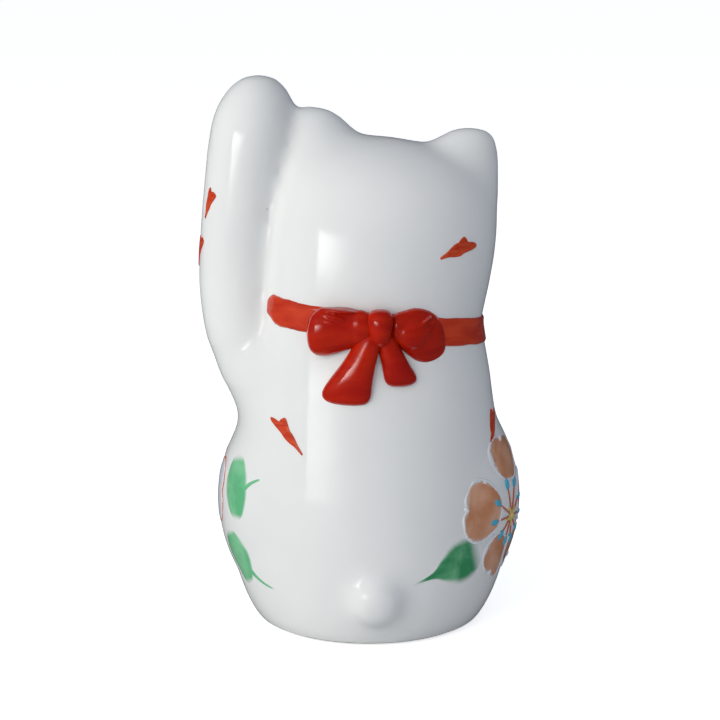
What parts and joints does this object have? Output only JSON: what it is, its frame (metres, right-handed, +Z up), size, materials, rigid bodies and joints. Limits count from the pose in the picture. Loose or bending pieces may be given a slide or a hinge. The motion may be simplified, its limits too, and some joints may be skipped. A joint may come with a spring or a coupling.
{
  "type": "beckoning cat figurine",
  "caption": "Seated porcelain cat with one foreleg raised beside its head, a collar with a moulded bow at the nape, a bell and painted enamel blossoms.",
  "frame": {"origin": "on the table under the middle of the figurine's bounding box", "axes": "+Z up along the seated body; the cat faces -Y; its raised left foreleg is at +X"},
  "size_m": [0.1073, 0.1024, 0.1799],
  "materials": {
    "glaze_white": "high gloss clear glaze over white porcelain",
    "bisque": "bare fired porcelain, slightly rough",
    "enamel_red": "gloss overglaze enamel",
    "enamel_orange": "gloss overglaze enamel",
    "enamel_green": "gloss overglaze enamel",
    "enamel_white": "gloss raised enamel",
    "enamel_black": "gloss overglaze enamel",
    "gilt": "burnished gold lustre over glaze"
  },
  "bodies": {
    "root": {"torso_shell": "glaze_white", "base_disc": "bisque", "head_shell": "glaze_white", "raised_foreleg": "glaze_white", "resting_foreleg": "glaze_white", "hind_paw_left": "glaze_white", "hind_paw_right": "glaze_white", "tail": "glaze_white", "collar_band": "enamel_red", "bow_knot": "enamel_red", "bow_loop_left": "enamel_red", "bow_loop_right": "enamel_red", "bow_tail_left": "enamel_red", "bow_tail_right": "enamel_red", "bell": "gilt", "eye_left": "enamel_black", "eye_right": "enamel_black", "nose": "enamel_red", "mouth": "enamel_red", "inner_ear_left": "enamel_orange", "inner_ear_right": "enamel_orange", "blossom_left": "enamel_white", "blossom_right": "enamel_orange", "leaf_left_upper": "enamel_green", "leaf_left_lower": "enamel_green", "leaf_right": "enamel_green", "petal_head": "enamel_red", "petal_back": "enamel_red", "petal_arm": "enamel_red"}
  },
  "joints": []
}
